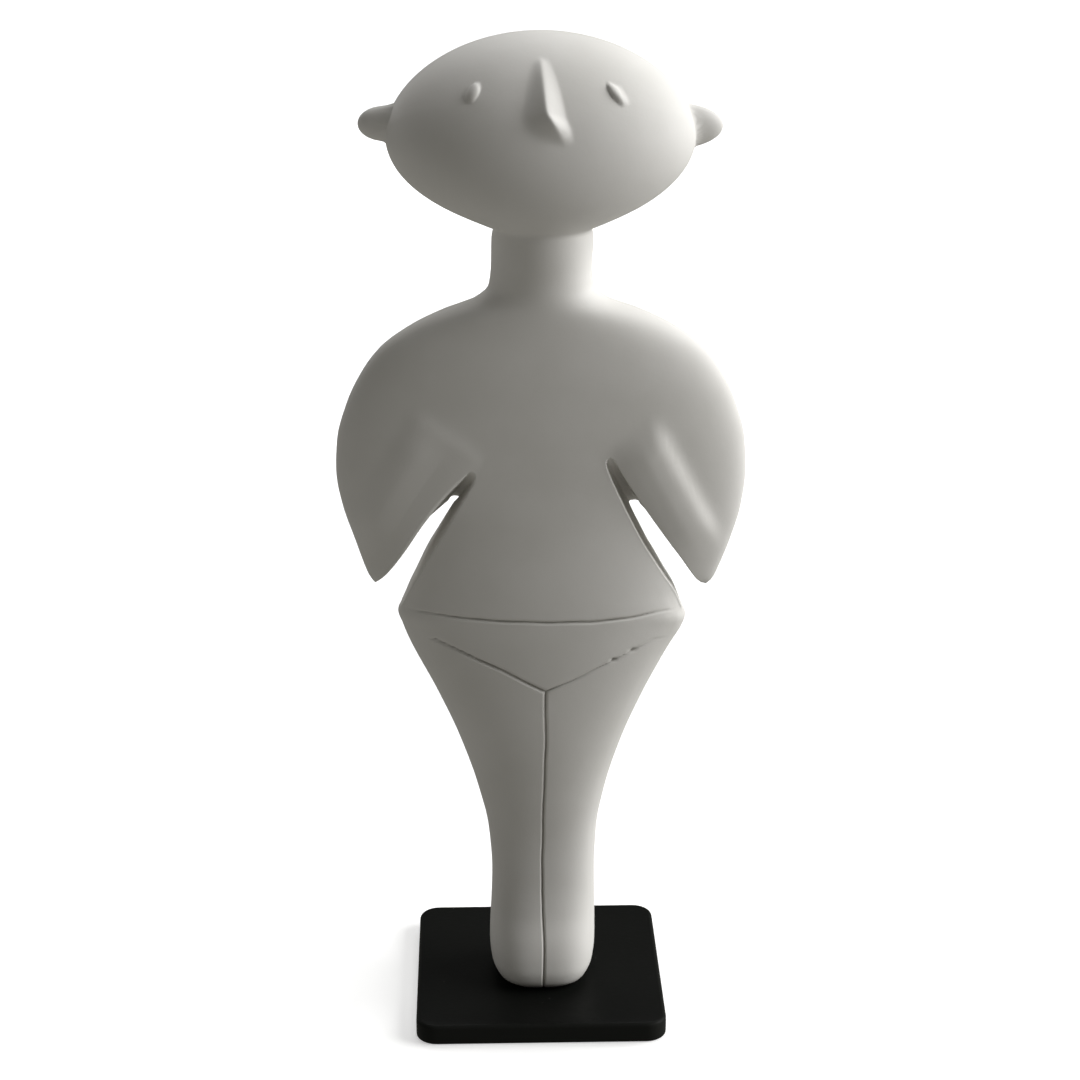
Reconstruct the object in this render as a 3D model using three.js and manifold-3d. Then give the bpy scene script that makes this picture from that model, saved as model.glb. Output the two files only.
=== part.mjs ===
// Stargazer figurine: a white cast copy of a flat standing idol, set on a thin black square base.
// Millimetres, +Z up. The figure faces -Y. The origin is on the base's underside, below the figure's middle.
import * as THREE from 'three';
import { mergeVertices } from 'three/addons/utils/BufferGeometryUtils.js';
import Module from 'manifold-3d';

const wasm = await Module();
wasm.setup();

// Base plate
const PLATE_SIDE = 60;
const PLATE_THICKNESS = 5;
const PLATE_SHIFT = -0.6;
const PLATE_CORNER = 5;
const PLATE_EDGE = 1;

// Body, as [height above the base, size] stations. The lower body is the feet, legs, hips and lens-shaped
// belly, and its top is sunk in the upper body: the wings of the arms, the shoulders and the neck.
const LOWER_WIDTH = [[0, 8.8], [2, 11.2], [5, 12.5], [9, 12.9], [27, 12.5], [38, 13.1], [49, 15.3],
  [62, 19.4], [74, 24.5], [87, 30.9], [92, 33], [95.5, 34.3], [97.5, 34], [101, 33.5], [114, 33.6],
  [133, 44], [148, 36]];
const LOWER_FRONT = [[0, 12.1], [2.5, 14.1], [6, 14.6], [11, 13.2], [18, 10.5], [26, 8.3], [36, 7.4],
  [48, 8.2], [58, 9.1], [72, 10.2], [92, 11], [118, 10.2], [131, 9.8], [148, 7.5]];
const LOWER_BACK = [[0, 5.4], [3, 7], [10, 7.6], [30, 6.6], [48, 7.6], [66, 8.6], [92, 10.8], [116, 8.9],
  [131, 9.1], [148, 7.5]];
const LOWER_SQUARENESS = [[0, 3.2], [8, 2.9], [20, 2.5], [50, 2.1], [70, 2]];
const UPPER_WIDTH = [[100, 37.8], [101.8, 39.6], [105, 41.5], [113, 44.6], [121, 46.7], [129, 47.5],
  [137, 47], [146, 44.5], [153, 41.1], [159, 36.6], [164.1, 29.6], [167.4, 22.8], [170.2, 15.5],
  [173.3, 12.1], [178, 11.4], [184, 11.5], [187.5, 12.8], [195, 14]];
const UPPER_FRONT = [[100, 3], [103, 5.6], [112, 8], [124, 9.4], [136, 9.8], [150, 9.4], [165, 8.6],
  [174, 8.8], [184, 9.8], [188, 11], [195, 11]];
const UPPER_BACK = [[100, 3], [103, 5.2], [112, 7.6], [124, 8.8], [136, 9.2], [150, 9.4], [165, 8.8],
  [174, 9.2], [184, 9.4], [190, 10], [195, 10.6]];
const UPPER_SQUARENESS = [[100, 2], [195, 2]];
const BODY_SIDES = 48;
const BODY_STEP = [[0, 0.9], [4, 2.6], [26, 5], [50, 6.5], [76, 4.4], [104, 4.4], [140, 3.4], [164, 2.5],
  [195, 3]];

// Slits between the arms and the belly, as [distance from the middle, height] in front: the belly's edge from
// the slit's blunt top down, and the arm's edge from the elbow up. They slant, so at the back their tops lie
// [further out, further down] by these amounts, and less towards the elbow.
const LEFT_SLIT = {
  side: -1,
  belly: [[16.1, 132], [15.3, 130.8], [17.1, 126.4], [20, 121.3], [24.4, 113], [29, 104.9], [33.9, 96.5]],
  arm: [[39.4, 101.6], [36.4, 104.9], [32, 111.2], [27.9, 117.3], [20.5, 127.1], [17, 131.2]],
  slant: [4.2, 11.5],
};
const RIGHT_SLIT = {
  side: 1,
  belly: [[15.5, 135], [14.8, 133.8], [16.6, 128.3], [19.7, 121.7], [23.8, 113], [28.6, 105], [33.9, 96.5]],
  arm: [[39.2, 101], [35.8, 104.4], [31.5, 110.6], [27.4, 116.9], [20, 128.2], [16.4, 134.1]],
  slant: [7, 16],
};
const SLANT_FROM = 101;
const SLANT_RISE = 32;
const SLANT_FRONT = -9.3;
const SLANT_DEEP = 17.5;
const SLIT_REACH = 60;
const SLIT_DEEP = 30;
const SLIT_INSET = 0.6;

// Forearm: a low rounded band between the slit and a crest that runs from hand to elbow
const CREST_HAND = [26.6, 141.2];
const CREST_ELBOW = [39.2, 118.8];
const CREST_LEFT = 1.1;
const CREST_RIGHT = 1.7;
const CREST_OUTER = 4.4;
const CREST_INNER = 14;
const CREST_FADE = 9;

// Head: an egg shape leaning back, broad from ear to ear and narrower at the crown and the chin
const HEAD_HEIGHT = 207.3;
const HEAD_BACK = 2.5;
const HEAD_SEMI = [34.6, 17, 23.4];
const HEAD_LEAN = THREE.MathUtils.degToRad(35);
const CROWN_TAPER = 0.065;
const CHIN_TAPER = 0.2;
const HEAD_AROUND = 36;
const HEAD_UP = 18;

// Nose, in the leaning head's own axes: [place along the face, where its ridge is, how wide its left and its
// right flank are, height above the face]
const NOSE_STATIONS = [[10.6, -0.3, 1.9, 1.4, 0.1], [8.4, -0.1, 2.6, 2.2, 1.1], [2, 0.3, 4.5, 3.5, 1.9],
  [-4, 0.8, 6, 4.1, 2.6], [-8, 2.7, 7.2, 3.4, 2.2], [-11.4, 4.8, 8, 1.8, 0]];
const NOSE_ROOT = 3;
const NOSE_FLANK = 1.1;
const NOSE_STEPS = 6;

// Eyes: slanting beads on the face; ears: small flat lobes on the head's sides
const LEFT_EYE = { at: [-15, 2.3], semi: [1.45, 1.2, 2.5], slant: THREE.MathUtils.degToRad(22) };
const RIGHT_EYE = { at: [16.2, 1.9], semi: [1.25, 1.2, 3.1], slant: THREE.MathUtils.degToRad(-38) };
const EYE_SINK = 0.25;
const EYE_AROUND = 10;
const EYE_UP = 6;
const LEFT_EAR = { at: [-34, 3, 209.4], semi: [6.6, 2.9, 3.9], droop: THREE.MathUtils.degToRad(-8) };
const RIGHT_EAR = { at: [34, 3, 208.4], semi: [6.6, 3, 4.8], droop: THREE.MathUtils.degToRad(8) };
const EAR_AROUND = 12;
const EAR_UP = 8;

// Incised lines: the belt, the V below it and the line between the legs, as [x, height] points
const GROOVE_WIDTH = 0.9;
const GROOVE_DEPTH = 1;
const GROOVE_LIFT = 1;
const GROOVE_STEP = 4;
const BELT = [[-30.5, 97.1], [-15, 96], [0, 95.6], [15, 95.5], [30.5, 96.3]];
const V_TIP = [0.8, 77.8];
const V_LEFT = [-25.2, 90.2];
const V_RIGHT = [27.2, 89.5];
const LEG_LINE = [[0.8, 77.8], [0.9, 63], [0.4, 41], [0, 28], [0, 20], [0.5, 12], [0.4, 0]];

// Worked-out values
const crestSpan = new THREE.Vector2(...CREST_ELBOW).sub(new THREE.Vector2(...CREST_HAND));
const crestLength = crestSpan.length();
const crestAlong = crestSpan.clone().normalize();
const crestOut = new THREE.Vector2(-crestAlong.y, crestAlong.x);

// A smooth function through [place, value] stations that never swings past them
function through(stations) {
  const place = stations.map((station) => station[0]);
  const value = stations.map((station) => station[1]);
  const slope = place.slice(1).map((end, i) => (value[i + 1] - value[i]) / (end - place[i]));
  const tangent = place.map((_, i) => {
    const before = slope[Math.max(i - 1, 0)];
    const after = slope[Math.min(i, slope.length - 1)];
    return before * after > 0 ? (2 * before * after) / (before + after) : 0;
  });
  return (at) => {
    const above = place.findIndex((p) => p > at);
    const i = above < 0 ? place.length - 2 : Math.max(above - 1, 0);
    const span = place[i + 1] - place[i];
    const u = THREE.MathUtils.clamp((at - place[i]) / span, 0, 1);
    const rise = value[i] * (1 + 2 * u) * (1 - u) ** 2 + value[i + 1] * u * u * (3 - 2 * u);
    return rise + span * (tangent[i] * u * (1 - u) ** 2 - tangent[i + 1] * u * u * (1 - u));
  };
}

// How far the forearm's band stands out of the front at a distance x from the middle
function forearmRelief(x, z) {
  const from = new THREE.Vector2(Math.abs(x), z).sub(new THREE.Vector2(...CREST_HAND));
  const across = from.dot(crestOut);
  const along = from.dot(crestAlong);
  const side = across > 0 ? across / CREST_OUTER : -across / CREST_INNER;
  const band = side < 1 ? (1 - side * side) ** 2 : 0;
  const start = THREE.MathUtils.smoothstep(along, -CREST_FADE, CREST_FADE / 2);
  const end = 1 - THREE.MathUtils.smoothstep(along, crestLength - CREST_FADE / 2, crestLength + CREST_FADE);
  return (x < 0 ? CREST_LEFT : CREST_RIGHT) * band * start * end;
}

// A closed skin over rings of points; each ring runs anticlockwise seen from the last ring's side
function loft(rings) {
  const count = rings[0].length;
  const points = rings.flat();
  const index = [];
  rings.slice(1).forEach((_, level) => {
    for (let j = 0; j < count; j += 1) {
      const a = level * count + j;
      const b = level * count + ((j + 1) % count);
      index.push(a, b, b + count, a, b + count, a + count);
    }
  });
  const middle = (ring) => ring.reduce((sum, p) => sum.add(p), new THREE.Vector3()).divideScalar(count);
  const first = points.push(middle(rings[0])) - 1;
  const last = points.push(middle(rings.at(-1))) - 1;
  for (let j = 0; j < count; j += 1) {
    const next = (j + 1) % count;
    const top = (rings.length - 1) * count;
    index.push(first, next, j, last, top + j, top + next);
  }
  const geometry = new THREE.BufferGeometry().setFromPoints(points);
  geometry.setIndex(index);
  return geometry;
}

// A solid that can be joined and cut
function solid(geometry) {
  geometry.deleteAttribute('normal');
  geometry.deleteAttribute('uv');
  const closed = mergeVertices(geometry, 1e-4);
  const vertProperties = new Float32Array(closed.attributes.position.array);
  const triVerts = new Uint32Array(closed.index.array);
  return new wasm.Manifold(new wasm.Mesh({ numProp: 3, vertProperties, triVerts }));
}

// A power that keeps its base's sign
const power = (value, exponent) => Math.sign(value) * Math.abs(value) ** exponent;

// One part of the body: how wide and deep it is at each height
function bodyPart(width, front, back, squareness) {
  return {
    bottom: width[0][0],
    top: width.at(-1)[0],
    width: through(width),
    front: through(front),
    back: through(back),
    squareness: through(squareness),
  };
}

const lowerBody = bodyPart(LOWER_WIDTH, LOWER_FRONT, LOWER_BACK, LOWER_SQUARENESS);
const upperBody = bodyPart(UPPER_WIDTH, UPPER_FRONT, UPPER_BACK, UPPER_SQUARENESS);

// The lower body's front surface, as a depth towards the viewer
function frontDepth(x, z) {
  const n = lowerBody.squareness(z);
  const edge = Math.max(1 - Math.min(Math.abs(x) / lowerBody.width(z), 1) ** n, 0);
  return lowerBody.front(z) * edge ** (1 / n);
}

// Level sections of a body part, each a flattened ring with its own depth in front and behind
function makeBody(part) {
  const step = through(BODY_STEP);
  const levels = [part.top];
  for (let z = part.bottom; z < part.top - step(part.top) / 2; z += step(z)) {
    levels.splice(-1, 0, z);
  }
  return loft(levels.map((z) => {
    const exponent = 2 / part.squareness(z);
    return Array.from({ length: BODY_SIDES }, (_, j) => {
      const angle = (2 * Math.PI * j) / BODY_SIDES;
      const x = part.width(z) * power(Math.cos(angle), exponent);
      const y = power(Math.sin(angle), exponent);
      return new THREE.Vector3(x, y > 0 ? y * part.back(z) : y * part.front(z) - forearmRelief(x, z), z);
    });
  }));
}

// A prism right through the figure over an outline of [x, height] points, slanting as the slits do
function throughPrism(edge) {
  const outline = new THREE.Shape(edge.map(([x, z]) => new THREE.Vector2(x, z)));
  const prism = new THREE.ExtrudeGeometry(outline, { depth: SLIT_DEEP, bevelEnabled: false });
  prism.translate(0, 0, -SLIT_DEEP / 2).rotateX(Math.PI / 2);
  const position = prism.attributes.position;
  for (let i = 0; i < position.count; i += 1) {
    const [x, y, z] = [position.getX(i), position.getY(i), position.getZ(i)];
    const { side, slant } = x < 0 ? LEFT_SLIT : RIGHT_SLIT;
    const rise = Math.max((z - SLANT_FROM) / SLANT_RISE, 0) ** 1.2;
    const share = (rise * (y - SLANT_FRONT)) / SLANT_DEEP;
    position.setX(i, x + side * slant[0] * share);
    position.setZ(i, z - slant[1] * share);
  }
  return prism;
}

// What lies between and below the wings of the arms, a little inside the slits
function makeArmGap() {
  const half = ({ side, belly, arm }) => {
    const inside = [...arm, belly[0]].map(([x, z]) => [side * (x - SLIT_INSET), z - SLIT_INSET]);
    return [[side * SLIT_REACH, 0], [side * SLIT_REACH, inside[0][1]], ...inside];
  };
  return throughPrism([...half(RIGHT_SLIT), ...half(LEFT_SLIT).reverse()]);
}

// The notch that parts an arm from the belly
function makeSlit({ side, belly, arm }) {
  const edge = [...belly, [SLIT_REACH, belly.at(-1)[1] - 1], [SLIT_REACH, arm[0][1] - 1], ...arm];
  return throughPrism(edge.map(([x, z]) => [side * x, z]));
}

// The head's own axes: x to its left, y into the face, z along it; this puts them in the figure
const placeHead = (geometry) => geometry.rotateX(-HEAD_LEAN).translate(0, HEAD_BACK, HEAD_HEIGHT);

// How much narrower than an even egg the head is, from -1 at the chin to 1 at the crown
const headNarrowing = (up) => 1 - (up > 0 ? CROWN_TAPER * up : CHIN_TAPER * (-up) ** 3);

// Depth of the face below a point of its own plane
function faceDepth(x, z) {
  const [halfWidth, halfDepth, halfLength] = HEAD_SEMI;
  const up = z / halfLength;
  const out = x / (halfWidth * headNarrowing(up));
  return halfDepth * Math.sqrt(Math.max(1 - out * out - up * up, 0));
}

function makeSkull() {
  const skull = new THREE.SphereGeometry(1, HEAD_AROUND, HEAD_UP).rotateX(Math.PI / 2);
  const position = skull.attributes.position;
  for (let i = 0; i < position.count; i += 1) {
    position.setX(i, position.getX(i) * headNarrowing(position.getZ(i)));
  }
  return placeHead(skull.scale(...HEAD_SEMI));
}

// A wedge with a narrow ridge that widens downwards and stops in a short slanting underside
function makeNose() {
  const rings = NOSE_STATIONS.map(([z, ridge, left, right, height]) => {
    const point = (share, out) => {
      const x = ridge + share * (share < 0 ? left : right);
      return new THREE.Vector3(x, -faceDepth(x, z) - out, z);
    };
    const shares = Array.from({ length: NOSE_STEPS + 1 }, (_, j) => (2 * j) / NOSE_STEPS - 1);
    const front = shares.map((share) => point(share, height * (1 - Math.abs(share)) ** NOSE_FLANK));
    return [...front, point(1, -NOSE_ROOT), point(-1, -NOSE_ROOT)];
  });
  return placeHead(loft(rings.reverse()));
}

function makeEye({ at, semi, slant }) {
  const [x, z] = at;
  const bead = new THREE.SphereGeometry(1, EYE_AROUND, EYE_UP).scale(...semi).rotateY(slant);
  return placeHead(bead.translate(x, EYE_SINK - faceDepth(x, z), z));
}

function makeEar({ at, semi, droop }) {
  return new THREE.SphereGeometry(1, EAR_AROUND, EAR_UP).scale(...semi).rotateY(droop).translate(...at);
}

// A V-section cutter that follows the front surface along a line of [x, height] points
function makeGroove(line) {
  const curve = new THREE.SplineCurve(line.map(([x, z]) => new THREE.Vector2(x, z)));
  const steps = Math.ceil(curve.getLength() / GROOVE_STEP);
  const lip = (GROOVE_WIDTH / 2) * (1 + GROOVE_LIFT / GROOVE_DEPTH);
  const rings = Array.from({ length: steps + 1 }, (_, i) => {
    const at = curve.getPointAt(i / steps);
    const run = curve.getTangentAt(i / steps);
    const y = -frontDepth(at.x, at.y);
    const side = new THREE.Vector3(run.y, 0, -run.x).multiplyScalar(lip);
    const mouth = new THREE.Vector3(at.x, y - GROOVE_LIFT, at.y);
    const root = new THREE.Vector3(at.x, y + GROOVE_DEPTH, at.y);
    return [mouth.clone().add(side), root, mouth.clone().sub(side)];
  });
  return loft(rings);
}

function makeFigure() {
  const features = [...[LEFT_EYE, RIGHT_EYE].map(makeEye), ...[LEFT_EAR, RIGHT_EAR].map(makeEar)];
  const added = [makeBody(lowerBody), makeSkull(), makeNose(), ...features];
  const lines = [BELT, [V_LEFT, V_TIP], [V_TIP, V_RIGHT], LEG_LINE];
  const cuts = [...[LEFT_SLIT, RIGHT_SLIT].map(makeSlit), ...lines.map(makeGroove)];
  const wings = solid(makeBody(upperBody)).subtract(solid(makeArmGap()));
  const joined = added.reduce((body, geometry) => body.add(solid(geometry)), wings);
  const mesh = cuts.reduce((body, geometry) => body.subtract(solid(geometry)), joined).getMesh();
  const geometry = new THREE.BufferGeometry();
  geometry.setAttribute('position', new THREE.BufferAttribute(new Float32Array(mesh.vertProperties), 3));
  geometry.setIndex(new THREE.BufferAttribute(new Uint32Array(mesh.triVerts), 1));
  return geometry;
}

// A square slab with round corners and softly rounded edges
function makePlate() {
  const half = PLATE_SIDE / 2;
  const inner = half - PLATE_CORNER;
  const outline = new THREE.Shape();
  [[1, -1], [1, 1], [-1, 1], [-1, -1]].forEach(([x, y], turn) => {
    const start = (turn - 1) * (Math.PI / 2);
    outline.absarc(x * inner, y * inner, PLATE_CORNER, start, start + Math.PI / 2, false);
  });
  const slab = new THREE.ExtrudeGeometry(outline, {
    depth: PLATE_THICKNESS - 2 * PLATE_EDGE,
    bevelThickness: PLATE_EDGE,
    bevelSize: PLATE_EDGE,
    bevelOffset: -PLATE_EDGE,
    bevelSegments: 2,
    curveSegments: 5,
  });
  return slab.translate(PLATE_SHIFT, 0, PLATE_EDGE);
}

function piece(name, geometry, material) {
  const mesh = new THREE.Mesh(geometry, material);
  geometry.computeVertexNormals();
  mesh.name = name;
  return mesh;
}

const castWhite = new THREE.MeshStandardMaterial({ color: 0xe4e2dc, roughness: 0.75, metalness: 0 });
const satinBlack = new THREE.MeshStandardMaterial({ color: 0x161716, roughness: 0.45, metalness: 0 });

const figurine = new THREE.Group();
const figure = piece('figure', makeFigure(), castWhite);
figure.position.z = PLATE_THICKNESS;
figurine.add(piece('base_plate', makePlate(), satinBlack), figure);

export default figurine;
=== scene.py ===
"""Looks of a stargazer figurine: a white cast idol with a tilted egg-shaped head, on a black square plate."""

import math

import bmesh
import bpy
import numpy as np
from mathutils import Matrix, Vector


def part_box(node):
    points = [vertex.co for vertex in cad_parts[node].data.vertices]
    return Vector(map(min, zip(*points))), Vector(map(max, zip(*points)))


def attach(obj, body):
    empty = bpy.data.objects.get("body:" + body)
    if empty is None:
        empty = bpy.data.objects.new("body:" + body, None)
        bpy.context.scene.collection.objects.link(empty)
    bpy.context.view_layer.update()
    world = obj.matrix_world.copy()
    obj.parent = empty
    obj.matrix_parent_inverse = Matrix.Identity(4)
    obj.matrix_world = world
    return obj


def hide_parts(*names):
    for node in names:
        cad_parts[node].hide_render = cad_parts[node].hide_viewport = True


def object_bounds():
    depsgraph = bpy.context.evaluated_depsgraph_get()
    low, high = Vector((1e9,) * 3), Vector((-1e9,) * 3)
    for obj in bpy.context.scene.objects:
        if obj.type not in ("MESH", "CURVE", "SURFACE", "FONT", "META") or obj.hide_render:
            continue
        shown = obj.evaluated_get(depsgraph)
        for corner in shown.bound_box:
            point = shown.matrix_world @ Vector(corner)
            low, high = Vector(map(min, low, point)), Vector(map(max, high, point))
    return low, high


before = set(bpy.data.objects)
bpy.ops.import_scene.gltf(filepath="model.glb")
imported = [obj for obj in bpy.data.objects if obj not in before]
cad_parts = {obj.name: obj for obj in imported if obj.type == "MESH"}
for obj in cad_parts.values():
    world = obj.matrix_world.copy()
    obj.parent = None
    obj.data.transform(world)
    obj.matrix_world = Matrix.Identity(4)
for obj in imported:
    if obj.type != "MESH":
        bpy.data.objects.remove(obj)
cad_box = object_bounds()


# Base plate
# A thin square board with rounded corners and softened edges, sprayed with satin black lacquer. Its cut
# sides are painted lighter than the top, partly as greyer lacquer drunk in by the cut edges and partly as
# painted light on the upright faces. The figure is fixed on top, and the whole stands on the flat underside.

MM = 0.001


def turn_quarters(points):
    """The same points turned about Z by 0, 90, 180 and 270 degrees, one after another."""
    turns = np.array([[[1, 0], [0, 1]], [[0, -1], [1, 0]], [[-1, 0], [0, -1]], [[0, 1], [-1, 0]]], float)
    return np.einsum("tij,pj->tpi", turns, points).reshape(-1, 2)


def grid_faces(rows, columns):
    """Quads of a grid whose rows close on themselves: a point, its right neighbour and the two above them."""
    here = np.arange(rows * columns).reshape(rows, columns)
    right = np.roll(here, -1, axis=1)
    return np.stack([here[:-1], right[:-1], right[1:], here[1:]], axis=-1).reshape(-1, 4)


def lay_mesh(name, points, faces, weld, **masks):
    """A smooth mesh object at the origin from arrays of points and quads, its coincident points welded.

    Each mask is a number for every point, kept as an attribute that the piece's finish can read.
    """
    mesh = bpy.data.meshes.new(name)
    mesh.vertices.add(len(points))
    mesh.vertices.foreach_set("co", np.asarray(points, np.float32).ravel())
    mesh.loops.add(faces.size)
    mesh.loops.foreach_set("vertex_index", faces.ravel().astype(np.int32))
    mesh.polygons.add(len(faces))
    mesh.polygons.foreach_set("loop_start", np.arange(0, faces.size, 4, dtype=np.int32))
    mesh.update(calc_edges=True)
    for mask, values in masks.items():
        layer = mesh.attributes.new(mask, "FLOAT", "POINT")
        layer.data.foreach_set("value", np.asarray(values, np.float32).ravel())
    shell = bmesh.new()
    shell.from_mesh(mesh)
    bmesh.ops.remove_doubles(shell, verts=shell.verts, dist=weld)
    shell.to_mesh(mesh)
    shell.free()
    mesh.polygons.foreach_set("use_smooth", np.ones(len(mesh.polygons), bool))
    mesh.validate()
    piece = bpy.data.objects.new(name, mesh)
    bpy.context.collection.objects.link(piece)
    return piece


class Wire:
    """A socket in a finish's node tree; arithmetic on it adds Math nodes, and node() adds any other node."""

    def __init__(self, tree, socket=None):
        self.tree = tree
        self.socket = socket

    def node(self, kind, settings=None, sockets=None, out=0):
        """Adds a node, sets its settings first and then its sockets, and gives back one of its outputs."""
        made = self.tree.nodes.new(kind)
        for key, value in (settings or {}).items():
            setattr(made, key, value)
        for key, value in (sockets or {}).items():
            if isinstance(value, Wire):
                self.tree.links.new(value.socket, made.inputs[key])
            else:
                made.inputs[key].default_value = value
        return Wire(self.tree, made.outputs[out])

    def math(self, operation, first, second):
        """A Math node on two values."""
        return self.node("ShaderNodeMath", {"operation": operation}, {0: first, 1: second})

    def __add__(self, other):
        return self.math("ADD", self, other)

    def __radd__(self, other):
        return self.math("ADD", other, self)

    def __sub__(self, other):
        return self.math("SUBTRACT", self, other)

    def __rsub__(self, other):
        return self.math("SUBTRACT", other, self)

    def __mul__(self, other):
        return self.math("MULTIPLY", self, other)

    def __rmul__(self, other):
        return self.math("MULTIPLY", other, self)

    def span(self, low, high):
        """0 below low, 1 above high, and a smooth rise between them."""
        return self.node("ShaderNodeMapRange", {"interpolation_type": "SMOOTHSTEP"},
                         {"Value": self, "From Min": low, "From Max": high})

    def mask(self, name):
        """The piece's own attribute of that name."""
        return self.node("ShaderNodeAttribute", {"attribute_name": name}, out=2)

    def noise(self, place, scale, detail):
        """Cloudy noise around 0.5, with features about 1 / scale metres across."""
        return self.node("ShaderNodeTexNoise", None, {"Vector": place, "Scale": scale, "Detail": detail})

    def blend(self, amount, first, second):
        """The first colour where amount is 0 and the second where it is 1."""
        return self.node("ShaderNodeMix", {"data_type": "RGBA"}, {0: amount, 6: first, 7: second}, out=2)

    def bump(self, height, distance, under=None):
        """A normal bent by a height map distance metres deep, on top of another normal if one is given."""
        sockets = {"Height": height, "Distance": distance}
        if under is not None:
            sockets["Normal"] = under
        return self.node("ShaderNodeBump", None, sockets)


def new_finish(name):
    """A new material: its wire for adding nodes, its Object coordinates and its main shader."""
    finish = bpy.data.materials.new(name)
    finish.use_nodes = True
    wire = Wire(finish.node_tree)
    place = wire.node("ShaderNodeTexCoord", out=3)
    return finish, wire, place, finish.node_tree.nodes["Principled BSDF"]


def feed(shader, **sockets):
    """Links wires into the shader's sockets, or sets their plain values; an underscore stands for a space."""
    for name, value in sockets.items():
        socket = shader.inputs[name.replace("_", " ")]
        if isinstance(value, Wire):
            value.tree.links.new(value.socket, socket)
        else:
            socket.default_value = value


plate_low, plate_high = (np.array(corner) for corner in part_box("base_plate"))
PLATE_CORNER = 5 * MM
PLATE_TOP_EDGE = 1 * MM
PLATE_FOOT_EDGE = 0.6 * MM
PLATE_WELD = 1e-7

# Points round a corner, along a side between two corners, round an upper or lower edge, and from the middle
# of a face to its edge
CORNER_POINTS = 17
SIDE_POINTS = 23
EDGE_POINTS = 9
FACE_POINTS = 11


def plate_surface():
    """A profile carried round a rounded square.

    Round the plan, a point is a corner's centre, or a place between two of them, plus a direction out times
    a reach. Up the profile, the reach and height go round the lower edge, up the side and round the upper
    edge as quarter circles, and both faces close by shrinking the outline to its middle. Two masks go with
    it: worn is highest in the middle of the upper edge's round, and side is 1 on the upright side.
    """
    middle = (plate_low + plate_high)[:2] / 2
    half = (plate_high[0] - plate_low[0]) / 2
    thick = plate_high[2] - plate_low[2]
    corner = half - PLATE_CORNER
    bend = np.linspace(0, np.pi / 2, CORNER_POINTS)
    along = np.linspace(corner, -corner, SIDE_POINTS + 2)[1:-1]
    centre = turn_quarters(np.concatenate([np.full((CORNER_POINTS, 2), corner),
                                           np.stack([along, np.full(SIDE_POINTS, corner)], 1)]))
    out = turn_quarters(np.concatenate([np.stack([np.cos(bend), np.sin(bend)], 1),
                                        np.tile([0.0, 1.0], (SIDE_POINTS, 1))]))
    arc = np.linspace(0, np.pi / 2, EDGE_POINTS)
    face = np.linspace(0, 1, FACE_POINTS)
    flat = np.zeros(FACE_POINTS)
    shrink = np.concatenate([face, np.ones(2 * EDGE_POINTS), face[::-1]])
    inset = np.concatenate([flat + PLATE_FOOT_EDGE, PLATE_FOOT_EDGE * (1 - np.sin(arc)),
                            PLATE_TOP_EDGE * (1 - np.cos(arc)), flat + PLATE_TOP_EDGE])
    height = np.concatenate([flat, PLATE_FOOT_EDGE * (1 - np.cos(arc)),
                             thick - PLATE_TOP_EDGE * (1 - np.sin(arc)), flat + thick])
    plan = middle + (centre + out * (PLATE_CORNER - inset[:, None, None])) * shrink[:, None, None]
    rise = np.broadcast_to(height[:, None, None] + plate_low[2], plan.shape[:2] + (1,))
    worn = np.concatenate([flat, 0 * arc, np.sin(2 * arc), flat])[:, None] + 0 * plan[:, :, 0]
    side = np.concatenate([flat, np.sin(arc), np.cos(arc), flat])[:, None] + 0 * plan[:, :, 0]
    return np.concatenate([plan, rise], axis=2), {"worn": worn, "side": side}


plate_points, plate_masks = plate_surface()
plate_faces = grid_faces(*plate_points.shape[:2])
plate = lay_mesh("lacquered_plate", plate_points.reshape(-1, 3), plate_faces, PLATE_WELD, **plate_masks)

LACQUER_BLACK = (0.0049, 0.0053, 0.0047, 1)
LACQUER_CLOUD = (0.0066, 0.007, 0.0063, 1)
LACQUER_SIDE_GREY_AND_LIT = (0.018, 0.019, 0.017, 1)
LACQUER_RUBBED = (0.014, 0.014, 0.013, 1)
LACQUER_DUST = (0.05, 0.049, 0.046, 1)
SPRAY_DEEP = 0.03 * MM

lacquer, wire, place, shader = new_finish("satin_black_lacquer")
cloud = wire.noise(place, scale=45, detail=5)
mist = wire.noise(place, scale=900, detail=3)
speck = wire.node("ShaderNodeTexVoronoi", None, {"Vector": place, "Scale": 420})
dusty = (1 - speck.span(0.05, 0.16)) * wire.noise(place, scale=160, detail=2).span(0.6, 0.68)
rub = wire.mask("worn") * wire.noise(place, scale=260, detail=4).span(0.4, 0.75)
# The upright sides are lighter, partly as greyer cut edges and partly as painted light on them.
grey_and_lit_sides = wire.mask("side") * (0.75 + 0.25 * cloud)
tone = wire.blend(cloud, LACQUER_BLACK, LACQUER_CLOUD)
tone = wire.blend(grey_and_lit_sides, tone, LACQUER_SIDE_GREY_AND_LIT)
tone = wire.blend(rub * 0.4, tone, LACQUER_RUBBED)
tone = wire.blend(dusty * 0.5, tone, LACQUER_DUST)
dull = 0.3 + 0.1 * cloud + 0.12 * rub + 0.15 * grey_and_lit_sides + 0.2 * dusty
spray = wire.bump(mist, SPRAY_DEEP)
feed(shader, Base_Color=tone, Roughness=dull, Normal=spray, Specular_IOR_Level=0.04)
plate.data.materials.append(lacquer)
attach(plate, "root")
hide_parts("base_plate")


# Figure
# One solid cast in white, marble-filled resin with a matte skin, copied from a carved flat idol.
# A tilted egg of a head, wing-like arms parted from the belly by two slits, and incised lines; it is
# fixed by its flat sole to the middle of the plate.

sole_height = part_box("figure")[0][2]


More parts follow.
